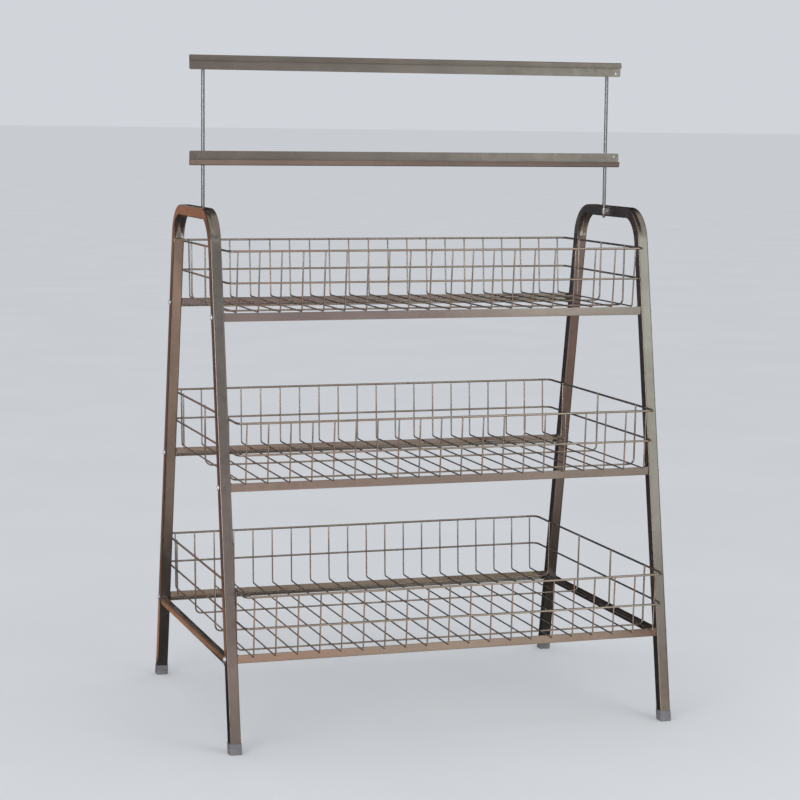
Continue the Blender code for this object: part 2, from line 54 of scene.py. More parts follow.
UP = Vector((0, 0, 1))
chance = random.Random(7)

# The stand's sizes, as in its CAD source
stand_length = 1053 * MM
stand_height = 1180 * MM
foot_spread = 777 * MM
crown_spread = 365 * MM
tube = 25 * MM
tube_corner = 2.6 * MM
bend_radius = 87.5 * MM
crush_depth = 10 * MM
crush_sink = 3 * MM
brace = 16 * MM
brace_corner = 2.2 * MM
brace_inset = 0.7 * MM
cap_wall = 1.0 * MM
cap_base = 3 * MM
cap_height = 24 * MM
rail_sheet = 2 * MM
rail_root = 1.5 * MM
rail_tab = 3 * MM
bolt_diameter = 6 * MM
rim_wire = 5 * MM
loop_wire = 4.5 * MM
cross_wire = 3.4 * MM
end_wire = 4 * MM
wire_pitch = 50 * MM
end_wire_margin = 90 * MM
end_flare = 5.5 * MM
basket_height = 137.5 * MM
loop_height = 67 * MM
loop_corner = 16 * MM
cross_bend = 7 * MM
end_bend = 13 * MM
wire_tail = 0.9 * MM
rod_diameter = 8 * MM
rod_tip = 5 * MM
rod_taper = 6 * MM
clip_sheet = 1.2 * MM
clip_flange = 12 * MM
clip_screw = 5 * MM
channel_height = 33 * MM
channel_lip = 12.5 * MM
channel_depth = 6 * MM
channel_sheet = 1 * MM
channel_corner = 4 * MM
channel_hole = 5 * MM
channel_hole_inset = 12 * MM
channel_hole_edge = 7.5 * MM
seat_gap = 0.3 * MM
overrun = 2 * MM

# Sizes that the looks refine or add
crush_bulge = 1.6 * MM
crush_roll = 3.2 * MM
crush_lead = 7 * MM
cap_base_round = 0.8 * MM
cap_top_round = 0.4 * MM
cap_mouth_round = 0.3 * MM
rail_corner = 0.9 * MM
rail_edge = 0.45 * MM
rail_shoulder = 0.6 * MM
tab_edge = 0.4 * MM
tab_bead_end = 1.5 * MM
tab_bead_corner = 1.2 * MM
bolt_socket = 2.0 * MM
bolt_thread_pitch = 1 * MM
bolt_thread_length = 13 * MM
clip_thread_pitch = 1.2 * MM
thread_depth = 0.5 * MM
recess_slot = 0.45 * MM
clip_edge = 0.25 * MM
left_end_bends = {"top": 20 * MM, "middle": 17 * MM, "bottom": 13 * MM}
loop_seam_place = 110 * MM
rim_sink = 0.55 * MM
loop_sink = 0.4 * MM
end_wire_sink = 0.85 * end_wire / 2
cross_wire_drift = 0.35
end_wire_drift = 0.5
channel_splay = 2.8 * MM
channel_edge = 0.3 * MM

# Weld beads by radius, and weld nuggets by half width
brace_bead = 1.7 * MM
tab_bead = 1.1 * MM
rod_bead = 0.9 * MM
bead_pitch = 2.0 * MM
bead_step = 0.5 * MM
brace_bead_step = 0.45 * MM
brace_bead_spread = 0.5 * MM
rod_bead_aside = 1.7 * MM
rod_bead_behind = 0.5 * MM
nugget_sink = 0.1 * MM
cross_rim_nugget = 1.5 * MM
cross_loop_nugget = 1.4 * MM
floor_nugget = 1.5 * MM
end_rim_nugget = 1.7 * MM
end_loop_nugget = 1.6 * MM
nugget_spread = (0.9, 1.15)

# How far the beads on a rod stay from the top and bottom of the upper and lower channel
rod_bead_margins = {1: (9 * MM, 3 * MM), -1: (3 * MM, 5 * MM)}

# A crush bend: powers that say how soon its dent and its channel grow, the power of the
# channel's fall to its sides, and the shares of the dent that are flat floor and straight slope
dent_rise = 0.5
channel_rise = 1.4
channel_fall = 1.3
dent_floor = 0.8
dent_straight = 0.75

# Steps and sides of round forms
bend_steps = 36
lead_steps = 8
wire_bend_steps = 7
loop_corner_steps = 8
fold_steps = 16
clip_steps = 18
rim_sides = 16
wire_sides = 12
bead_sides = 8
nugget_sides = 8
nugget_rows = 5
rod_sides = 40
screw_sides = 48

# The rings that round off a wire's end, as (share of the reach, share of the radius)
wire_dome = ((0.35, 0.937), (0.7, 0.714), (0.93, 0.367))
dome_reach = 0.6

# The rings at a rod's tip and top, as (distance from the end, inset) in millimetres
rod_tip_round = ((0, 0.6), (0.15, 0.2), (0.5, 0))
rod_top_round = ((0.5, 0), (0.15, 0.15), (0, 0.5))

# The outlines of screw heads, as (share of the height, share of the radius)
button_head = ((0, 0.97), (0.06, 1), (0.3, 0.985), (0.55, 0.9), (0.76, 0.76))
button_head += ((0.92, 0.6), (1, 0.47), (1, 0.42))
pan_head = ((0, 0.96), (0.1, 1), (0.45, 0.97), (0.72, 0.86), (0.9, 0.68), (1, 0.5))

# The upset ring that a butt weld leaves on a loop: its rings' places and its width in
# millimetres, and its height as a share of the wire's radius
seam_offsets = (-6, -3, -2, -1.5, -1.1, -0.7, -0.35, 0, 0.35, 0.7, 1.1, 1.5, 2, 3, 6)
seam_width = 0.9
seam_swell = 0.16

leg_slope = (foot_spread - crown_spread) / 2 / stand_height
leg_tilt = atan(leg_slope)
frame_outside = stand_length / 2
frame_inside = frame_outside - tube
frame_middle = frame_outside - tube / 2
rod_place = frame_inside - seat_gap - rod_diameter / 2
rim_half_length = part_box("basket_top")[1].x - rim_wire / 2

left_right = {"left": -1, "right": 1}
front_back = {"front": -1, "back": 1}
rim_flares = {"top": 16 * MM, "middle": 11 * MM, "bottom": 11 * MM}
end_wire_counts = {"top": 3, "middle": 3, "bottom": 4}
quarters = ((1, 1), (-1, 1), (-1, -1), (1, -1))


def leg_face(z):
    """Distance from the middle plane to the outer face of a leg at height z."""
    return foot_spread / 2 - leg_slope * z


def leg_middle(z):
    """Distance from the middle plane to the middle line of a leg at height z."""
    return leg_face(z) - tube / 2 / cos(leg_tilt)


# Materials

# Most of what a noise node gives lies between these
noise_low = 0.3
noise_high = 0.7

# The sockets of a mix node that colours use
mix_first = 6
mix_second = 7
mix_result = 2


def new_material(name):
    """A material with its node tree and its surface shader."""
    made = bpy.data.materials.new(name)
    made.use_nodes = True
    return made, made.node_tree, made.node_tree.nodes["Principled BSDF"]


def set_inputs(tree, node, inputs):
    """Give a node's sockets numbers, colours or the outputs of other nodes."""
    for name, value in inputs.items():
        if isinstance(value, (int, float)):
            node.inputs[name].default_value = value
        elif isinstance(value, tuple):
            node.inputs[name].default_value = (*value, 1)
        else:
            tree.links.new(value, node.inputs[name])


def add_node(tree, kind, inputs):
    made = tree.nodes.new(kind)
    set_inputs(tree, made, inputs)
    return made


def place_vector(tree, scale=(1, 1, 1)):
    """The object's own coordinates, in metres, stretched by a scale."""
    coordinates = tree.nodes.new("ShaderNodeTexCoord")
    mapping = add_node(tree, "ShaderNodeMapping", {"Vector": coordinates.outputs["Object"]})
    mapping.inputs["Scale"].default_value = scale
    return mapping.outputs["Vector"]


def noise(tree, vector, scale, detail, rough=0.5):
    """Soft noise with a number of finer layers."""
    inputs = {"Vector": vector, "Scale": scale, "Detail": detail, "Roughness": rough}
    return add_node(tree, "ShaderNodeTexNoise", inputs).outputs["Fac"]


def span(tree, value, from_low, from_high, to_low, to_high):
    """Map one range of a value to another range."""
    limits = {"From Min": from_low, "From Max": from_high, "To Min": to_low, "To Max": to_high}
    inputs = {"Value": value} | limits
    return add_node(tree, "ShaderNodeMapRange", inputs).outputs["Result"]


def spread(tree, value, low, high):
    """Map noise to a range."""
    return span(tree, value, noise_low, noise_high, low, high)


def mix_colour(tree, share, first, second):
    """Mix two colours. Either may be a fixed colour or the output of another node."""
    made = tree.nodes.new("ShaderNodeMix")
    made.data_type = "RGBA"
    set_inputs(tree, made, {"Factor": share, mix_first: first, mix_second: second})
    return made.outputs[mix_result]


def combine(tree, operation, first, second):
    """Add or multiply two values. Either may be a number or the output of another node."""
    made = add_node(tree, "ShaderNodeMath", {0: first, 1: second})
    made.operation = operation
    return made.outputs["Value"]


def bump(tree, height, strength, distance):
    """Let the light fall on a surface as if it had a fine relief."""
    inputs = {"Height": height, "Strength": strength, "Distance": distance}
    return add_node(tree, "ShaderNodeBump", inputs).outputs["Normal"]


def brighter(colour, gain):
    """A colour times a gain, at most white."""
    return tuple(min(1, gain * part) for part in colour)


def paint(name, light, dark, metallic, smooth, rough, scuff):
    """Semi-gloss metallic powder coat: cloudy tone, orange peel, fine flakes and a few scuffs."""
    made, tree, shader = new_material(name)
    place = place_vector(tree)
    clouds = noise(tree, place, scale=9, detail=3)
    grain = noise(tree, place, scale=60, detail=2)
    streaks = noise(tree, place_vector(tree, (1, 1, 0.12)), scale=150, detail=2, rough=0.6)
    flakes = add_node(tree, "ShaderNodeTexVoronoi", {"Vector": place, "Scale": 1600})
    tone = combine(tree, "ADD", spread(tree, clouds, 0, 0.75), spread(tree, grain, 0, 0.25))
    base = mix_colour(tree, tone, dark, light)
    sparkle = span(tree, flakes.outputs["Distance"], 0.0, 0.42, 0.015, 0.0)
    base = mix_colour(tree, sparkle, base, brighter(light, 1.9))
    scuffs = span(tree, streaks, 0.66, 0.74, 0, scuff)
    base = mix_colour(tree, scuffs, base, brighter(light, 1.5))
    rubbed = combine(tree, "MULTIPLY", scuffs, 0.3)
    roughness = combine(tree, "ADD", spread(tree, grain, smooth, rough), rubbed)
    peel = bump(tree, noise(tree, place, scale=420, detail=1), 0.1, 0.004 * MM)
    inputs = {"Base Color": base, "Roughness": roughness, "Metallic": metallic, "Normal": peel}
    set_inputs(tree, shader, inputs | {"Coat Weight": 0.25, "Coat Roughness": 0.18})
    return made


def zinc_material(name, dark, light, metallic, smooth, rough):
    """Zinc plate: pale, a little cloudy, with fine scratches."""
    made, tree, shader = new_material(name)
    clouds = noise(tree, place_vector(tree), scale=30, detail=2)
    scratches = noise(tree, place_vector(tree, (1, 1, 0.03)), scale=300, detail=1)
    base = mix_colour(tree, spread(tree, clouds, 0, 1), dark, light)
    scratched = span(tree, scratches, 0.5, 0.75, 0, 0.08)
    roughness = combine(tree, "ADD", spread(tree, clouds, smooth, rough), scratched)
    set_inputs(tree, shader, {"Base Color": base, "Roughness": roughness, "Metallic": metallic})
    return made


def plastic_material(name):
    """Moulded grey plastic with a fine spark texture and dust near the floor."""
    made, tree, shader = new_material(name)
    place = place_vector(tree)
    clouds = noise(tree, place, scale=70, detail=4, rough=0.6)
    texture = noise(tree, place, scale=1300, detail=2)
    tone = spread(tree, clouds, 0, 1)
    base = mix_colour(tree, tone, (0.170, 0.166, 0.178), (0.235, 0.228, 0.240))
    separate = add_node(tree, "ShaderNodeSeparateXYZ", {"Vector": place})
    dusty = span(tree, separate.outputs["Z"], 0.0, 12 * MM, 0.55, 0)
    base = mix_colour(tree, combine(tree, "MULTIPLY", dusty, clouds), base, (0.42, 0.40, 0.37))
    sparks = bump(tree, texture, 0.5, 0.1 * MM)
    inputs = {"Base Color": base, "Roughness": spread(tree, texture, 0.42, 0.6), "Normal": sparks}
    set_inputs(tree, shader, inputs)
    return made


def floor_material(name):
    """A matt, nearly white studio floor."""
    made, tree, shader = new_material(name)
    tone = spread(tree, noise(tree, place_vector(tree), scale=1.5, detail=3), 0, 1)
    base = mix_colour(tree, tone, (0.89, 0.89, 0.89), (0.92, 0.92, 0.92))
    set_inputs(tree, shader, {"Base Color": base, "Roughness": 0.9, "Specular IOR Level": 0})
    return made


# Each finish is a slot of the record's materials and the material that it has here
frame_finish = "frame_paint", paint(
    "frame_paint_look", light=(0.290, 0.254, 0.226), dark=(0.220, 0.192, 0.170),
    metallic=0.87, smooth=0.27, rough=0.35, scuff=0.25,
)
rail_finish = "frame_paint", paint(
    "rail_paint_look", light=(0.290, 0.254, 0.226), dark=(0.230, 0.200, 0.178),
    metallic=0.87, smooth=0.15, rough=0.21, scuff=0.25,
)
# The wire paint is the frame's powder coat made lighter: a painted highlight for the light that the
# round wires catch.
wire_highlight_finish = "wire_paint", paint(
    "wire_paint_highlight_look", light=(0.430, 0.365, 0.315), dark=(0.310, 0.262, 0.228),
    metallic=0.85, smooth=0.22, rough=0.32, scuff=0.12,
)
channel_finish = "channel_paint", paint(
    "channel_paint_look", light=(0.254, 0.220, 0.194), dark=(0.188, 0.164, 0.145),
    metallic=0.80, smooth=0.32, rough=0.46, scuff=0.3,
)
clip_finish = "zinc_plate", zinc_material(
    "zinc_plate_look", dark=(0.50, 0.51, 0.54), light=(0.58, 0.58, 0.59),
    metallic=1, smooth=0.42, rough=0.50,
)
# The rods' zinc is the clips' zinc made darker: painted shade.
rod_shaded_finish = "zinc_plate", zinc_material(
    "rod_zinc_shaded_look", dark=(0.27, 0.275, 0.29), light=(0.33, 0.335, 0.345),
    metallic=1, smooth=0.34, rough=0.42,
)
# The bolts' zinc is near white and half diffuse: a painted highlight for the bright glints on the
# bolt heads.
bolt_highlight_finish = "zinc_plate", zinc_material(
    "bolt_zinc_highlight_look", dark=(0.90, 0.90, 0.90), light=(0.96, 0.95, 0.94),
    metallic=0.5, smooth=0.24, rough=0.34,
)
cap_finish = "cap_plastic", plastic_material("cap_plastic_look")
floor_look = floor_material("studio_floor_look")


# Mesh helpers


def loft(shape, rings, closed=False):
    """Skin a row of rings that all have the same number of points, and cap an open one."""
    rows = [[shape.verts.new(point) for point in ring] for ring in rings]
    pairs = list(zip(rows, rows[1:]))
    if closed:
        pairs.append((rows[-1], rows[0]))
    for row, following in pairs:
        for i in range(len(row)):
            j = (i + 1) % len(row)
            shape.faces.new((row[i], row[j], following[j], following[i]))
    if not closed:
        shape.faces.new(rows[0])
        shape.faces.new(rows[-1])


def plain_object(name, shape):
    """Turn a bmesh into an object of the scene."""
    bmesh.ops.recalc_face_normals(shape, faces=shape.faces[:])
    mesh = bpy.data.meshes.new(name)
    shape.to_mesh(mesh)
    shape.free()
    made = bpy.data.objects.new(name, mesh)
    bpy.context.scene.collection.objects.link(made)
    return made


def dress(piece, finish, body, node, smooth):
    """Give a piece its looks and its body, and let it stand for its CAD node. Edges up to the
    smooth angle in degrees are shaded as round."""
    slot, material = finish
    mesh = piece.data
    mesh.materials.clear()
    mesh.materials.append(material)
    mesh.shade_smooth()
    mesh.set_sharp_from_angle(angle=radians(smooth))
    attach(piece, body)
    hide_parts(node)


def make_piece(name, shape, finish, body, node, smooth=38):
    """Turn a bmesh into a dressed piece."""
    dress(plain_object(name, shape), finish, body, node, smooth)


def soften(shape, width, angle=45):
    """Round every edge that is sharper than an angle in degrees."""
    shape.normal_update()
    bmesh.ops.recalc_face_normals(shape, faces=shape.faces[:])
    shared = [edge for edge in shape.edges if len(edge.link_faces) == 2]
    sharp = [edge for edge in shared if edge.calc_face_angle(0) > radians(angle)]
    bmesh.ops.bevel(
        shape, geom=sharp, offset=width, segments=2, profile=0.5, affect="EDGES", clamp_overlap=True
    )


def rounded_quarter(quarter, flat_x, flat_y, radius, steps):
    """Points (x, y) round one corner of a rounded rectangle."""
    sign_x, sign_y = quarters[quarter]
    points = []
    for step in range(steps + 1):
        angle = quarter * pi / 2 + step * pi / 2 / steps
        x = flat_x * sign_x + radius * cos(angle)
        points.append((x, flat_y * sign_y + radius * sin(angle)))
    return points


def square_section(half, corner, corner_steps, face_steps=1):
    """Points (across, outward) round a square section with rounded corners."""
    flat = half - corner
    corners = [rounded_quarter(i, flat, flat, corner, corner_steps) for i in range(4)]
    points = []
    for here, following in zip(corners, corners[1:] + corners[:1]):
        points += here
        start, end = Vector(here[-1]), Vector(following[0])
        points += [tuple(start.lerp(end, step / face_steps)) for step in range(1, face_steps)]
    return points


def turned(shape, profile, start, axis, sides):
    """Turn (distance, radius) pairs round an axis. A radius may be a function of the angle."""
    along = axis.normalized()
    across = along.orthogonal().normalized()
    upward = along.cross(across)
    rings = []
    for distance, radius in profile:
        ring = []
        for i in range(sides):
            angle = 2 * pi * i / sides
            reach = radius(angle) if callable(radius) else radius
            spoke = across * cos(angle) + upward * sin(angle)
            ring.append(start + along * distance + spoke * reach)
        rings.append(ring)
    loft(shape, rings)


def domed_end(station, way):
    """The stations past the end of a wire that round it off."""
    point, tangent, normal, size = station
    stations = []
    for out, share in wire_dome:
        past = tangent * size * out * dome_reach * way
        stations.append((point + past, tangent, normal, size * share))
    return stations


def sweep(shape, points, radius, sides, closed=False, radii=None):
    """A round wire along a row of points, with domed ends when it is open."""
    count = len(points)
    sizes = radii or [radius] * count
    tangents = []
    for i in range(count):
        if closed:
            run = points[(i + 1) % count] - points[i - 1]
        else:
            run = points[min(i + 1, count - 1)] - points[max(i - 1, 0)]
        tangents.append(run.normalized())
    normal = tangents[0].orthogonal().normalized()
    if abs(tangents[0].z) < 0.9:
        normal = (UP - tangents[0] * tangents[0].z).normalized()
    stations = []
    for i in range(count):
        if i:
            normal = tangents[i - 1].rotation_difference(tangents[i]) @ normal
            normal = (normal - tangents[i] * normal.dot(tangents[i])).normalized()
        stations.append((points[i], tangents[i], normal.copy(), sizes[i]))
    if not closed:
        lead = domed_end(stations[0], -1)
        stations = lead[::-1] + stations + domed_end(stations[-1], 1)
    rings = []
    for point, tangent, upward, size in stations:
        side = tangent.cross(upward)
        ring = []
        for i in range(sides):
            angle = 2 * pi * (i + 0.5) / sides
            ring.append(point + (upward * cos(angle) + side * sin(angle)) * size)
        rings.append(ring)
    loft(shape, rings, closed)


def blob(shape, centre, first, second, third):
    """A weld nugget: a small ellipsoid with three half axes."""
    rings = []
    for row in range(1, nugget_rows):
        angle = pi * row / nugget_rows
        ring = []
        for i in range(nugget_sides):
            turn = 2 * pi * i / nugget_sides
            flat = first * cos(turn) + second * sin(turn)
            ring.append(centre + flat * sin(angle) + third * cos(angle))
        rings.append(ring)
    loft(shape, rings)


def bead(shape, points, radius, closed=False):
    """A rippled, slightly uneven weld bead along a line."""
    length = 0
    radii = []
    for i, point in enumerate(points):
        if i:
            length += (point - points[i - 1]).length
        ripple = abs(sin(pi * length / bead_pitch))
        radii.append(radius * (0.84 + 0.2 * ripple + 0.06 * chance.uniform(-1, 1)))
    sweep(shape, points, radius, bead_sides, closed, radii)


def dense(points, step, closed=False):
    """The same line with points no further apart than a step."""
    made = []
    ends = points[1:] + ([points[0]] if closed else [])
    for start, end in zip(points, ends):
        count = max(1, round((end - start).length / step))
        made += [start.lerp(end, i / count) for i in range(count)]
    return made if closed else made + [points[-1]]


# Side frames


def crushed(across, out, dent, channel):
    """The section inside a crush bend: a valley in the inner face whose floor narrows as it
    deepens, rolled inner corners, swollen sides and a shallow channel along the outer face."""
    half = tube / 2
    face = (half - tube_corner) * 0.999
    share = min(1, abs(across) / (half - 0.3 * tube_corner))
    lower = 0.5 - out / (2 * half)
    if out < -face:
        flat = dent_floor * (1 - dent)
        slope = min(1, max(0, (share - flat) / (1 - flat)))
        rounded = 0.5 + 0.5 * cos(pi * slope)
        out += crush_depth * dent * (dent_straight * (1 - slope) + (1 - dent_straight) * rounded)
    elif out > face:
        out -= crush_sink * channel * (1 - share) ** channel_fall
    out += crush_roll * dent * dent * share * lower * lower
    return across * (1 + crush_bulge * dent * dent * lower / half), out


def bend_amounts(place, arc):
    """How much of the inner dent and of the outer channel there is at a place along a bend."""
    inner = min(1, max(0, (place + crush_lead) / (arc + 2 * crush_lead)))
    outer = min(1, max(0, place / arc))
    return abs(sin(pi * inner)) ** dent_rise, abs(sin(pi * outer)) ** channel_rise


def half_frame_line():
    """Stations (depth, height, normal depth, normal height, dent, channel) from a foot to the
    middle of the top tube."""
    turn = pi / 2 - leg_tilt
    reach = bend_radius - tube / 2
    arc = reach * turn
    centre_height = stand_height - bend_radius
    centre_depth = leg_face(centre_height) - bend_radius / cos(leg_tilt)
    leg_end = Vector((centre_depth + reach * sin(turn), centre_height + reach * cos(turn)))
    foot_height = cap_base + seat_gap
    foot = Vector((leg_middle(foot_height), foot_height))
    leg_length = (leg_end - foot).length
    leg_run = (leg_end - foot).normalized()

    places = [-leg_length * share for share in (1, 0.75, 0.5, 0.25)] + [-60 * MM, -20 * MM]
    places += [-crush_lead + crush_lead * (i / lead_steps) ** 2 for i in range(lead_steps)]
    line = []
    for place in places:
        point = leg_end + leg_run * place
        amounts = bend_amounts(place, arc)
        line.append((point.x, point.y, cos(leg_tilt), sin(leg_tilt), *amounts))
    for step in range(bend_steps + 1):
        angle = turn * (1 - step / bend_steps)
        point = (centre_depth + reach * sin(angle), centre_height + reach * cos(angle))
        amounts = bend_amounts(arc * step / bend_steps, arc)
        line.append((*point, sin(angle), cos(angle), *amounts))
    depth, height = line[-1][:2]
    for step in reversed(range(lead_steps)):
        place = crush_lead * (1 - (step / lead_steps) ** 2)
        line.append((depth - place, height, 0, 1, *bend_amounts(arc + place, arc)))
    line.append((depth - 20 * MM, height, 0, 1, 0, 0))
    line.append((0.3 * depth, height, 0, 1, 0, 0))
    return line


def make_side_frame(name, side):
    """One tube from the front foot over both bends to the back foot."""
    section = square_section(tube / 2, tube_corner, 5, 10)
    half = half_frame_line()
    front_half = [(-place[0], place[1], -place[2], *place[3:]) for place in half]
    rings = []
    for depth, height, normal_depth, normal_height, dent, channel in front_half + half[::-1]:
        ring = []
        for across, out in section:
            across, out = crushed(across, out, dent, channel)
            x = side * frame_middle + across
            ring.append(Vector((x, depth + out * normal_depth, height + out * normal_height)))
        rings.append(ring)
    shape = bmesh.new()
    loft(shape, rings)
    node = "side_frame_" + name
    make_piece(node + "_tube", shape, frame_finish, "frame", node, smooth=60)


def make_brace(name, side):
    """The brace and the weld beads round both its ends."""
    node = "side_brace_" + name
    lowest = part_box(node)[0].z
    middle = side * (frame_outside - brace_inset - brace / 2)
    contact = (tube + seat_gap) / cos(leg_tilt)

    def end_ring(section, end, back_off):
        """The section cut to the slope of a leg, a distance away from it."""
        ring = []
        for across, up in section:
            z = lowest + brace / 2 + up
            y = end * (leg_face(z) - contact - back_off)
            ring.append(Vector((middle + across, y, z)))
        return ring

    section = square_section(brace / 2, brace_corner, 5)
    shape = bmesh.new()
    loft(shape, [end_ring(section, -1, 0), end_ring(section, 1, 0)])
    make_piece(node + "_tube", shape, frame_finish, "frame", node)
    shape = bmesh.new()
    outline = square_section(brace / 2 + brace_bead_spread, brace_corner + brace_bead_spread, 3)
    for end in (-1, 1):
        line = dense(end_ring(outline, end, brace_bead_spread), brace_bead_step, True)
        bead(shape, line, brace_bead, True)
    make_piece(node + "_welds", shape, frame_finish, "frame", node, smooth=70)


def make_foot_cap(name, side, depth_side):
    """A moulded sleeve with a level base and softened rims."""
    inside = tube / 2 + seat_gap
    outside = inside + cap_wall
    corner = tube_corner + seat_gap
    rows = []
    for step in range(4):
        angle = pi / 2 * step / 3
        inset = cap_base_round * (1 - sin(angle))
        rows.append((outside - inset, cap_base_round * (1 - cos(angle))))
    chamfer = 0.3 * cap_top_round
    rows += [(outside, cap_height * 0.5), (outside, cap_height - cap_top_round)]
    rows += [(outside - chamfer, cap_height - chamfer), (outside - cap_top_round, cap_height)]
    rows += [(inside + cap_mouth_round / 2, cap_height), (inside, cap_height - cap_mouth_round)]
    rows += [(inside, cap_base)]
    rings = []
    for half, height in rows:
        ring = []
        for across, out in square_section(half, corner + half - inside, 5):
            depth = depth_side * (leg_middle(height) + out / cos(leg_tilt))
            ring.append(Vector((side * frame_middle + across, depth, height)))
        rings.append(ring)
    shape = bmesh.new()
    loft(shape, rings)
    node = "foot_cap_" + name
    make_piece(node + "_sleeve", shape, cap_finish, "frame", node)


# Rails and their bolts


def rounded_outline(points, radii):
    """A closed outline whose corners are rounded by their own radii."""
    steps = 3
    made = []
    count = len(points)
    for i in range(count):
        here = Vector(points[i])
        before = (Vector(points[i - 1]) - here).normalized()
        after = (Vector(points[(i + 1) % count]) - here).normalized()
        start = here + before * radii[i]
        end = here + after * radii[i]
        for step in range(steps + 1):
            share = step / steps
            made.append(start.lerp(here, share).lerp(here.lerp(end, share), share))
    return made


def with_shoulders(outline, margin):
    """The outline with a point close to each end of its long sides, which keeps the shading of
    a flat face flat beside a rounded edge."""
    points = []
    for start, end in zip(outline, outline[1:] + outline[:1]):
        points.append(tuple(start))
        length = (end - start).length
        if length > 4 * margin:
            points.append(tuple(start.lerp(end, margin / length)))
            points.append(tuple(end.lerp(start, margin / length)))
    return points


def make_rail(tier, name, side):
    """The angle, and the bolting tab that is welded into each of its ends."""
    node = "rail_%s_%s" % (tier, name)
    low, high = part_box(node)
    width = high.z - low.z
    outer = low.y if side < 0 else high.y
    corners = [(0, 0), (width, 0), (width, rail_sheet), (rail_sheet, rail_sheet)]
    corners += [(rail_sheet, width), (0, width)]
    radii = [rail_corner, rail_edge, rail_edge, rail_root, rail_edge, rail_edge]
    outline = with_shoulders(rounded_outline(corners, radii), rail_shoulder)
    rings = []
    for x in (low.x, low.x * 0.5, 0, high.x * 0.5, high.x):
        rings.append([Vector((x, outer - side * inward, low.z + up)) for inward, up in outline])
    shape = bmesh.new()
    loft(shape, rings)
    make_piece(node + "_angle", shape, rail_finish, "frame", node)

    ends = ((low.x, low.x + rail_tab), (high.x, high.x - rail_tab))
    sunk = rail_sheet * 0.6
    near = outer - side * sunk
    far = outer - side * width
    ring = [(near, low.z + sunk), (far, low.z + sunk), (far, high.z), (near, high.z)]
    shape = bmesh.new()
    for faces in ends:
        loft(shape, [[Vector((x, y, z)) for y, z in ring] for x in faces])
    soften(shape, tab_edge)
    wall = outer - side * rail_sheet
    ledge = low.z + rail_sheet
    for _, inner in ends:
        line = [
            Vector((inner, outer - side * (width - tab_bead_end), ledge)),
            Vector((inner, outer - side * (rail_sheet + tab_bead_corner), ledge)),
            Vector((inner, wall, ledge + tab_bead_corner)),
            Vector((inner, wall, high.z - tab_bead_end)),
        ]
        bead(shape, dense(line, bead_step), tab_bead)
    make_piece(node + "_tabs", shape, frame_finish, "frame", node)


def hexagon(apothem):
    """Radius of a hexagon as a function of the angle."""
    return lambda angle: apothem / cos((angle + pi / 6) % (pi / 3) - pi / 6)


def thread(start, end, radius, pitch):
    """Profile rows of a screw thread. The radius follows the angle, so that it is one helix."""
    rows = []
    steps = int(abs(end - start) / pitch * 6)
    for step in range(steps + 1):
        place = start + (end - start) * step / steps
        ease = min(1, step / 3, (steps - step) / 3)

        def size(angle, place=place, ease=ease):
            wave = abs(((place / pitch + angle / (2 * pi)) % 1) * 2 - 1)
            return radius - thread_depth * wave * ease

        rows.append((place, size))
    return rows


def head_rows(shares, height, radius):
    return [(height * up, radius * out) for up, out in shares]


def make_screw(node, face, way, make_profile, finish):
    """A turned screw whose head stands on a face. The profile is made from the head's height,
    the length behind the face and the head's radius."""
    low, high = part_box(node)
    centre = (low + high) / 2
    crown, tip = (high.x, low.x) if way > 0 else (low.x, high.x)
    profile = make_profile(abs(crown - face), abs(face - tip), (high.z - low.z) / 2)
    shape = bmesh.new()
    turned(shape, profile, Vector((face, centre.y, centre.z)), Vector((way, 0, 0)), screw_sides)
    make_piece(node + "_screw", shape, finish, "frame", node, smooth=35)


def bolt_profile(height, length, head):
    """A threaded tip, a button head and a hexagon socket."""
    shank = bolt_diameter / 2
    last = bolt_thread_length - length
    profile = [(0.05 * MM - length, shank * 0.72), (0.5 * MM - length, shank * 0.93)]
    profile += thread(0.6 * MM - length, last, shank, bolt_thread_pitch)
    profile += [(last + 0.3 * MM, shank), (0, shank)] + head_rows(button_head, height, head)
    profile += [(height - 0.15 * MM, hexagon(bolt_socket * 1.06))]
    profile += [(height - depth * MM, hexagon(bolt_socket)) for depth in (0.4, 2.3)]
    return profile + [(height - 2.5 * MM, 1.2 * MM), (height - 2.8 * MM, 0.2 * MM)]


def make_bolt(tier, name, end_name, end):
    face = end * (frame_outside + seat_gap)
    make_screw("bolt_%s_%s_%s" % (tier, name, end_name), face, end, bolt_profile, bolt_highlight_finish)


# Baskets


def u_line(top_half, floor_half, top, bottom, bend, far_bend):
    """Points (along, up) of a wire bent to a U, with a bend at its plus and its minus end."""
    slope = (top_half - floor_half) / (top - bottom)
    tilt = atan(slope)
    halves = []
    for radius in (bend, far_bend):
        centre_up = bottom + radius
        centre_along = floor_half - radius * (1 - sin(tilt)) / cos(tilt)
        middle_up = (top + centre_up) / 2
        half = [(top_half, top), (floor_half + slope * (middle_up - bottom), middle_up)]
        for step in range(wire_bend_steps + 1):
            angle = -tilt - (pi / 2 - tilt) * step / wire_bend_steps
            half.append((centre_along + radius * cos(angle), centre_up + radius * sin(angle)))
        halves.append(half)
    return halves[0] + [(0, bottom)] + [(-along, up) for along, up in halves[1][::-1]]


def loop_with_seam(half_length, half_depth, height, radius):
    """Points and radii of a loop whose ends are butt welded on its back side."""
    points = []
    for quarter in range(4):
        flat_x, flat_y = half_length - loop_corner, half_depth - loop_corner
        corner = rounded_quarter(quarter, flat_x, flat_y, loop_corner, loop_corner_steps)
        points += [Vector((x, y, height)) for x, y in corner]
    swell = [radius * seam_swell * exp(-((offset / seam_width) ** 2)) for offset in seam_offsets]
    seam = []
    for offset, raised in zip(seam_offsets, swell):
        seam.append(Vector((loop_seam_place - offset * MM, half_depth - raised, height)))
    first = loop_corner_steps + 1
    radii = [radius] * first + [radius + raised for raised in swell]
    radii += [radius] * (len(points) - first)
    return points[:first] + seam + points[first:], radii


def even_places(count, pitch):
    """Places at an even pitch on both sides of the middle."""
    return [(i - (count - 1) / 2) * pitch for i in range(count)]


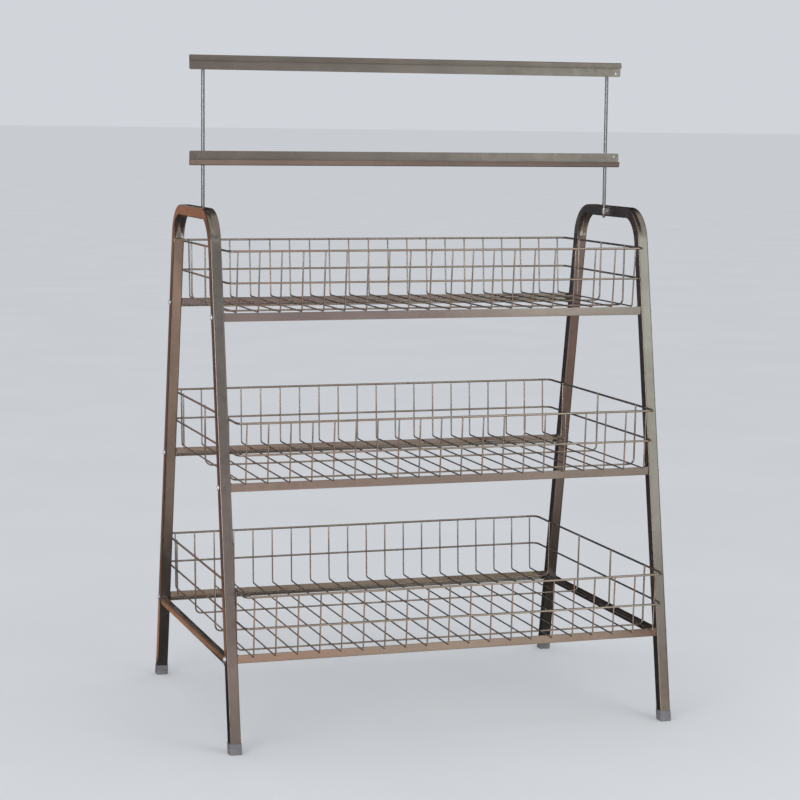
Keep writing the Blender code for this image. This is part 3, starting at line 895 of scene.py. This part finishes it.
def make_basket(tier):
    """A tray of a rim, a middle loop, cross wires and length wires, and its weld nuggets."""
    body = "basket_" + tier
    lift = Vector((0, 0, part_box("rail_%s_front" % tier)[1].z))
    rim_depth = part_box(body)[1].y - rim_wire / 2
    floor_depth = rim_depth - rim_flares[tier]
    floor_length = rim_half_length - end_flare
    cross_radius = cross_wire / 2
    end_radius = end_wire / 2
    cross_floor = seat_gap + cross_radius
    end_floor = -end_wire_sink
    cross_top = rim_depth - rim_wire / 2 - cross_radius + rim_sink
    end_top = rim_half_length - rim_wire / 2 - end_radius + rim_sink
    top = basket_height + wire_tail

    def loop_reach(top_half, floor_half, bottom, radius):
        """Half the length or depth of the middle loop, outside the wires that carry it."""
        rise = (loop_height - bottom) / (basket_height - bottom)
        wall = floor_half + rise * (top_half - floor_half)
        return wall + radius + loop_wire / 2 - loop_sink

    def make_loop(part, half_length, half_depth, height, wire):
        points, radii = loop_with_seam(half_length, half_depth, height, wire / 2)
        shape = bmesh.new()
        sweep(shape, [point + lift for point in points], wire / 2, rim_sides, True, radii)
        make_piece(body + part, shape, wire_highlight_finish, body, body, smooth=60)

    def wall_nugget(centre, size, aside, outward):
        """A weld between an upright wire and the rim or the middle loop."""
        blob(nuggets, centre + lift, aside * (size * 1.25), UP * (size * 1.1), outward * size)

    loop_depth = loop_reach(cross_top, floor_depth, cross_floor, cross_radius)
    loop_length = loop_reach(end_top, floor_length, end_floor, end_radius)
    cross_places = even_places(floor(2 * floor_length / wire_pitch) + 1, wire_pitch)
    end_count = end_wire_counts[tier]
    end_places = even_places(end_count, 2 * (floor_depth - end_wire_margin) / (end_count - 1))
    rim_weld = nugget_sink - rim_wire / 2
    loop_weld = nugget_sink - loop_wire / 2

    make_loop("_rim", rim_half_length, rim_depth, basket_height, rim_wire)
    make_loop("_middle_loop", loop_length, loop_depth, loop_height, loop_wire)

    shape = bmesh.new()
    nuggets = bmesh.new()
    outline = u_line(cross_top, floor_depth, top, cross_floor, cross_bend, cross_bend)
    welds = (
        (rim_depth + rim_weld, basket_height, cross_rim_nugget),
        (loop_depth + loop_weld, loop_height, cross_loop_nugget),
    )
    for x in cross_places:
        drift = [chance.uniform(-cross_wire_drift, cross_wire_drift) * MM for _ in range(3)]
        line = []
        for along, up in outline:
            shift = drift[0] + (drift[1] if along > 0 else drift[2]) * up / top
            line.append(Vector((x + shift, along, up)) + lift)
        sweep(shape, line, cross_radius, wire_sides)
        for side in (-1, 1):
            place = x + drift[0] + (drift[1] if side > 0 else drift[2])
            for reach, height, size in welds:
                size *= chance.uniform(*nugget_spread)
                wall_nugget(Vector((place, side * reach, height)), size, ALONG, BACK)
        for y in end_places:
            size = floor_nugget * chance.uniform(*nugget_spread)
            centre = Vector((x + drift[0], y, seat_gap)) + lift
            wide = size * 1.2
            blob(nuggets, centre, ALONG * wide, BACK * wide, UP * (size * 0.9))
    make_piece(body + "_cross_wires", shape, wire_highlight_finish, body, body, smooth=60)

    shape = bmesh.new()
    outline = u_line(end_top, floor_length, top, end_floor, end_bend, left_end_bends[tier])
    welds = (
        (rim_half_length + rim_weld, basket_height, end_rim_nugget),
        (loop_length + loop_weld, loop_height, end_loop_nugget),
    )
    for y in end_places:
        drift = chance.uniform(-end_wire_drift, end_wire_drift) * MM
        line = [Vector((along, y + drift * up / top, up)) + lift for along, up in outline]
        sweep(shape, line, end_radius, wire_sides)
        for end in (-1, 1):
            for reach, height, size in welds:
                centre = Vector((end * reach, y + drift * height / top, height))
                wall_nugget(centre, size, BACK, ALONG)
    make_piece(body + "_length_wires", shape, wire_highlight_finish, body, body, smooth=60)
    make_piece(body + "_weld_nuggets", nuggets, wire_highlight_finish, body, body, smooth=80)


# Sign holder


def make_rod(name, side):
    """A plated rod with a tapered foot and softened ends."""
    node = "sign_rod_" + name
    low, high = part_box(node)
    radius = rod_diameter / 2
    length = high.z - low.z
    profile = [(up * MM, rod_tip / 2 - inset * MM) for up, inset in rod_tip_round]
    profile += [(rod_taper, radius - 0.1 * MM), (rod_taper + 0.8 * MM, radius)]
    profile += [(length * share, radius) for share in (0.2, 0.5, 0.8)]
    profile += [(length - down * MM, radius - inset * MM) for down, inset in rod_top_round]
    shape = bmesh.new()
    turned(shape, profile, Vector((side * rod_place, 0, low.z)), UP, rod_sides)
    make_piece(node + "_bar", shape, rod_shaded_finish, "sign_holder", node, smooth=50)


def channel_outline():
    """The folded sheet's section as (forward, down) pairs. Its free edges are a little rounded
    and its short lip splays forward."""
    outer = channel_depth / 2
    inner = outer - channel_sheet
    edge = channel_edge
    lip_inside = channel_depth - channel_sheet
    fold = []
    inner_fold = []
    for step in range(fold_steps + 1):
        angle = pi - step * pi / fold_steps
        fold.append((outer + outer * cos(angle), outer - outer * sin(angle)))
        inner_fold.append((outer + inner * cos(angle), outer - inner * sin(angle)))
    points = [(edge, channel_height), (0, channel_height - edge)] + fold
    points += [(channel_depth, channel_lip - edge), (channel_depth - edge, channel_lip)]
    points += [(lip_inside + edge, channel_lip), (lip_inside, channel_lip - edge)]
    points += inner_fold[::-1]
    points += [(channel_sheet, channel_height - edge), (channel_sheet - edge, channel_height)]

    def splayed(forward, down):
        share = max(0, down - outer) / (channel_lip - outer)
        return (forward + channel_splay * share, down) if forward > outer else (forward, down)

    return [splayed(*point) for point in points]


def channel_cutter(low, high, edge, down):
    """What is cut from a channel: its hole and the two corners of its long edge."""
    behind = high.y + overrun
    front = high.y - channel_sheet - overrun
    shape = bmesh.new()
    start = Vector((high.x - channel_hole_inset, behind, edge + down * channel_hole_edge))
    rows = [(0, channel_hole / 2), (behind - front, channel_hole / 2)]
    turned(shape, rows, start, Vector((0, -1, 0)), 32)
    for end, x_end in ((-1, low.x), (1, high.x)):
        corner_x = x_end - end * channel_corner
        corner_z = edge + down * channel_corner
        past_x = x_end + end * overrun
        past_z = edge - down * overrun
        points = [(past_x, past_z), (past_x, corner_z)]
        for step in range(9):
            angle = step * pi / 16
            x = corner_x + end * channel_corner * cos(angle)
            points.append((x, corner_z - down * channel_corner * sin(angle)))
        points.append((corner_x, past_z))
        loft(shape, [[Vector((x, y, z)) for x, z in points] for y in (behind, front)])
    return plain_object("cutter", shape)


def boolean_cut(target, cutter):
    """Cut a mesh object and keep the result as its own mesh."""
    cut = target.modifiers.new("cut", "BOOLEAN")
    cut.object = cutter
    cut.operation = "DIFFERENCE"
    cut.solver = "EXACT"
    bpy.context.view_layer.update()
    finished = target.evaluated_get(bpy.context.evaluated_depsgraph_get())
    result = bpy.data.meshes.new_from_object(finished)
    target.modifiers.remove(cut)
    target.data = result
    bpy.data.objects.remove(cutter, do_unlink=True)


def make_channel(name, down):
    """A J-shaped channel. It opens downward when down is 1 and upward when down is -1."""
    node = "sign_channel_" + name
    low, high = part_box(node)
    fold = high.z if down > 0 else low.z
    outline = channel_outline()
    rings = []
    for x in (low.x, high.x):
        ring = [Vector((x, high.y - forward, fold - down * drop)) for forward, drop in outline]
        rings.append(ring)
    shape = bmesh.new()
    loft(shape, rings)
    channel = plain_object(node + "_fold", shape)
    boolean_cut(channel, channel_cutter(low, high, fold - down * channel_height, down))
    dress(channel, channel_finish, "sign_holder", node, smooth=30)

    above, below = rod_bead_margins[down]
    y = high.y + rod_bead_behind
    shape = bmesh.new()
    for side in (-1, 1):
        for aside in (-1, 1):
            x = side * rod_place + aside * rod_bead_aside
            line = [Vector((x, y, high.z - above)), Vector((x, y, low.z + below))]
            bead(shape, dense(line, bead_step), rod_bead)
    make_piece(node + "_welds", shape, channel_finish, "sign_holder", node, smooth=70)


def clip_outline():
    """The clip's section seen from above, for the right side, as (x, y) pairs."""
    inner = rod_diameter / 2 + seat_gap
    outer = inner + clip_sheet
    wall = frame_inside - seat_gap
    turns = [pi * step / clip_steps for step in range(clip_steps + 1)]
    points = [(wall, -outer - clip_flange), (wall, -inner)]
    points += [(rod_place - inner * sin(turn), -inner * cos(turn)) for turn in turns]
    points += [(wall, inner), (wall, outer)]
    points += [(rod_place - outer * sin(turn), outer * cos(turn)) for turn in turns]
    points += [(wall - clip_sheet, -outer), (wall - clip_sheet, -outer - clip_flange)]
    return points


def make_clip(name, side):
    """The bent strap that holds a rod to a frame's top tube."""
    node = "rod_clip_" + name
    low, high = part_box(node)
    outline = clip_outline()
    shape = bmesh.new()
    loft(shape, [[Vector((side * x, y, z)) for x, y in outline] for z in (low.z, high.z)])
    soften(shape, clip_edge, 60)
    make_piece(node + "_strap", shape, clip_finish, "frame", node, smooth=35)


def cross(size):
    """Radius of a cross recess as a function of the angle."""

    def radius(angle):
        spoke = abs(((angle + pi / 4) % (pi / 2)) - pi / 4)
        return min(size, recess_slot / max(sin(spoke), 0.001)) if spoke < pi / 4 else size * 0.3

    return radius


def clip_screw_profile(height, length, head):
    """A threaded tip, a pan head and a cross recess."""
    shank = clip_screw / 2
    profile = [(-length, 0.6 * MM), (1.5 * MM - length, 2.1 * MM)]
    profile += thread(1.7 * MM - length, -0.2 * MM, shank, clip_thread_pitch)
    profile += [(0, shank)] + head_rows(pan_head, height, head)
    profile += [(height, cross(head * 0.42)), (height - 1.4 * MM, cross(head * 0.3))]
    return profile + [(height - 1.6 * MM, 0.2 * MM)]


def make_clip_screw(name, side):
    face = side * (frame_inside - seat_gap - clip_sheet - seat_gap)
    make_screw("rod_clip_screw_" + name, face, -side, clip_screw_profile, clip_finish)


# Camera, light and floor

camera_place = (-1.68472, -5.02293, 1.37593)
camera_turns = (18.36, -7.06, 0.65)
camera_lens = 101.03
camera_sensor = 36
camera_range = 1000
sky_colour = (0.80, 0.83, 0.88)
sky_strength = 0.80
floor_radius = 400
floor_sides = 96
white = (1.0, 1.0, 1.0)
warm_white = (1.0, 0.98, 0.95)
cool_white = (0.95, 0.97, 1.0)

# Soft boxes, as (name, place, size, radiance, colour, target)
lamps = (
    ("front_right", (1.95, -3.05, 1.84), (1.5, 2.16), 1.9, (0.88, 1.0, 0.95), (0.9, 0, 1.84)),
    ("front_left", (-4.3, -4.4, 1.8), (3.4, 2.6), 2.6, white, (-0.4, 0, 1.0)),
)

# Glowing cards, in the same order. With no target, one on the floor faces up and any other one
# faces the middle plane.
cards = (
    ("front_glint", (-4.0, -4.1, 1.9), (2.6, 1.8), 4.5, white, (-0.4, 0, 1.0)),
    ("front_low_right", (2.2, -4.7, 0.55), (0.8, 0.9), 0.85, (1.0, 0.93, 0.88)),
    ("front_bottom", (1.75, -4.6, 0.22), (1.3, 0.3), 1.2, (1.0, 0.86, 0.84)),
    ("front_middle_high", (0.2, -3.15, 2.55), (0.5, 0.5), 2.2, white, (-0.5, -0.35, 1.1)),
    ("front_right_high", (1.75, -2.3, 3.3), (1.0, 1.8), 1.3, (1.0, 0.98, 0.9), (0.5, -0.3, 1.1)),
    ("front_high", (0.3, -4.7, 2.7), (3.0, 3.4), 0.35, (0.96, 0.98, 1.05)),
    ("front_low", (0.3, -4.7, 0.55), (3.0, 0.9), 0.80, (1.0, 0.86, 0.94)),
    ("overhead", (0.3, -1.4, 4.6), (3.4, 5.0), 0.80, (1.0, 0.96, 0.84), (0.3, -1.4, 0)),
    ("floor_far_left", (-0.35, -3.8, 0.004), (2.5, 1.4), 0.82, (1.0, 0.86, 0.82)),
    ("floor_far_right", (1.95, -3.6, 0.004), (2.1, 1.8), 1.15, (1.0, 0.94, 0.88)),
    ("floor_left", (-0.4, -2.03, 0.004), (2.2, 2.14), 1.45, (1.0, 0.73, 0.60)),
    ("floor_right", (1.4, -1.83, 0.004), (1.4, 1.74), 0.50, (1.0, 0.58, 0.48)),
    ("floor_middle", (0.4, -1.15, 0.006), (0.8, 0.5), 1.35, (1.0, 0.88, 0.76)),
    ("floor_near", (0.2, -0.6, 0.004), (2.2, 0.5), 0.15, (1.0, 0.6, 0.6)),
    ("floor_under", (0.24, -0.54, 0.008), (1.36, 0.26), 1.2, (1.0, 0.91, 0.73)),
    ("warm_high", (-0.83, 1.2, 1.25), (0.36, 0.5), 0.72, (1.0, 0.46, 0.26)),
    ("warm_low", (-0.83, 1.2, 0.50), (0.36, 0.99), 0.36, (1.0, 0.48, 0.36)),
    ("warm_floor", (-0.76, 0.85, 0.004), (0.42, 0.7), 0.66, (1.0, 0.50, 0.28)),
    ("back_blue", (-1.0, 3.3, 0.8), (1.0, 1.8), 0.05, (0.25, 0.38, 1.0), (0.5, 0, 0.8)),
    ("back", (-0.1, 9.0, 2.1), (2.6, 3.8), 0.6, (0.97, 0.98, 1.0)),
    ("back_right", (5.2, 4.2, 1.8), (2.4, 3.0), 0.7, warm_white, (0, 0, 0.9)),
    ("back_left", (-5.5, 2.8, 1.8), (2.0, 3.0), 0.4, cool_white, (0, 0, 0.9)),
    ("left", (-5.2, 0.0, 1.6), (2.2, 3.0), 0.5, cool_white, (0, 0, 0.9)),
    ("right", (5.0, 0.4, 1.7), (3.2, 3.0), 0.7, warm_white, (0, 0.4, 0.9)),
)


def add_camera():
    yaw, pitch, roll = [radians(turn) for turn in camera_turns]
    ahead = Vector((sin(yaw) * cos(pitch), cos(yaw) * cos(pitch), sin(pitch)))
    level_right = Vector((cos(yaw), -sin(yaw), 0))
    level_up = level_right.cross(ahead)
    right = level_right * cos(roll) + level_up * sin(roll)
    upward = level_up * cos(roll) - level_right * sin(roll)
    data = bpy.data.cameras.new("camera")
    data.sensor_width = camera_sensor
    data.lens = camera_lens
    data.clip_end = camera_range
    camera = bpy.data.objects.new("camera", data)
    turn = Matrix((right, upward, -ahead)).transposed().to_4x4()
    turn.translation = Vector(camera_place)
    camera.matrix_world = turn
    bpy.context.scene.collection.objects.link(camera)
    bpy.context.scene.camera = camera


def facing(place, target):
    """Where a flat card or lamp stands and turns, its -Z side toward a target."""
    turn = (Vector(target) - Vector(place)).to_track_quat("-Z", "Y")
    return Matrix.Translation(Vector(place)) @ turn.to_matrix().to_4x4()


def add_lamp(name, place, size, radiance, colour, target):
    """A soft box of a given brightness."""
    data = bpy.data.lights.new(name, "AREA")
    data.shape = "RECTANGLE"
    data.size, data.size_y = size
    data.energy = radiance * pi * size[0] * size[1]
    data.color = colour
    light = bpy.data.objects.new(name, data)
    light.matrix_world = facing(place, target)
    light.visible_camera = False
    bpy.context.scene.collection.objects.link(light)


def add_card(name, place, size, radiance, colour, target=None):
    """A glowing card that is only seen as a reflection in the metal."""
    x, y, z = place
    if target is None:
        target = (x, y, 1) if z < 10 * MM else (x, 0, z)
    made = bpy.data.materials.new(name + "_look")
    made.use_nodes = True
    made.cycles.emission_sampling = "NONE"
    tree = made.node_tree
    tree.nodes.clear()
    glow = add_node(tree, "ShaderNodeEmission", {"Color": colour, "Strength": radiance})
    add_node(tree, "ShaderNodeOutputMaterial", {"Surface": glow.outputs["Emission"]})
    shape = bmesh.new()
    corners = ((-1, -1), (1, -1), (1, 1), (-1, 1))
    points = [Vector((x * size[0] / 2, y * size[1] / 2, 0)) for x, y in corners]
    shape.faces.new([shape.verts.new(point) for point in points])
    card = plain_object(name, shape)
    card.data.materials.append(made)
    card.matrix_world = facing(place, target)
    card.visible_camera = False
    card.visible_diffuse = False
    card.visible_transmission = False
    card.visible_shadow = False


def add_floor():
    """A wide round floor that the metal doesn't mirror."""
    shape = bmesh.new()
    turns = [2 * pi * i / floor_sides for i in range(floor_sides)]
    ring = [Vector((floor_radius * cos(turn), floor_radius * sin(turn), 0)) for turn in turns]
    shape.faces.new([shape.verts.new(point) for point in ring])
    ground = plain_object("studio_floor", shape)
    ground.data.materials.append(floor_look)
    ground.visible_glossy = False


def add_studio():
    world = bpy.data.worlds.new("studio")
    bpy.context.scene.world = world
    world.use_nodes = True
    tree = world.node_tree
    inputs = {"Color": sky_colour, "Strength": sky_strength}
    set_inputs(tree, tree.nodes["Background"], inputs)
    world.cycles_visibility.glossy = False
    for lamp in lamps:
        add_lamp(*lamp)
    for card in cards:
        add_card(*card)
    add_floor()


def main():
    add_camera()
    add_studio()
    for name, side in left_right.items():
        make_side_frame(name, side)
        make_brace(name, side)
        for depth_name, depth_side in front_back.items():
            make_foot_cap(depth_name + "_" + name, side, depth_side)
        make_rod(name, side)
        make_clip(name, side)
        make_clip_screw(name, side)
    for tier in rim_flares:
        for depth_name, depth_side in front_back.items():
            make_rail(tier, depth_name, depth_side)
            for name, side in left_right.items():
                make_bolt(tier, depth_name, name, side)
        make_basket(tier)
    make_channel("upper", 1)
    make_channel("lower", -1)
    bpy.context.scene.view_settings.view_transform = "Standard"


main()
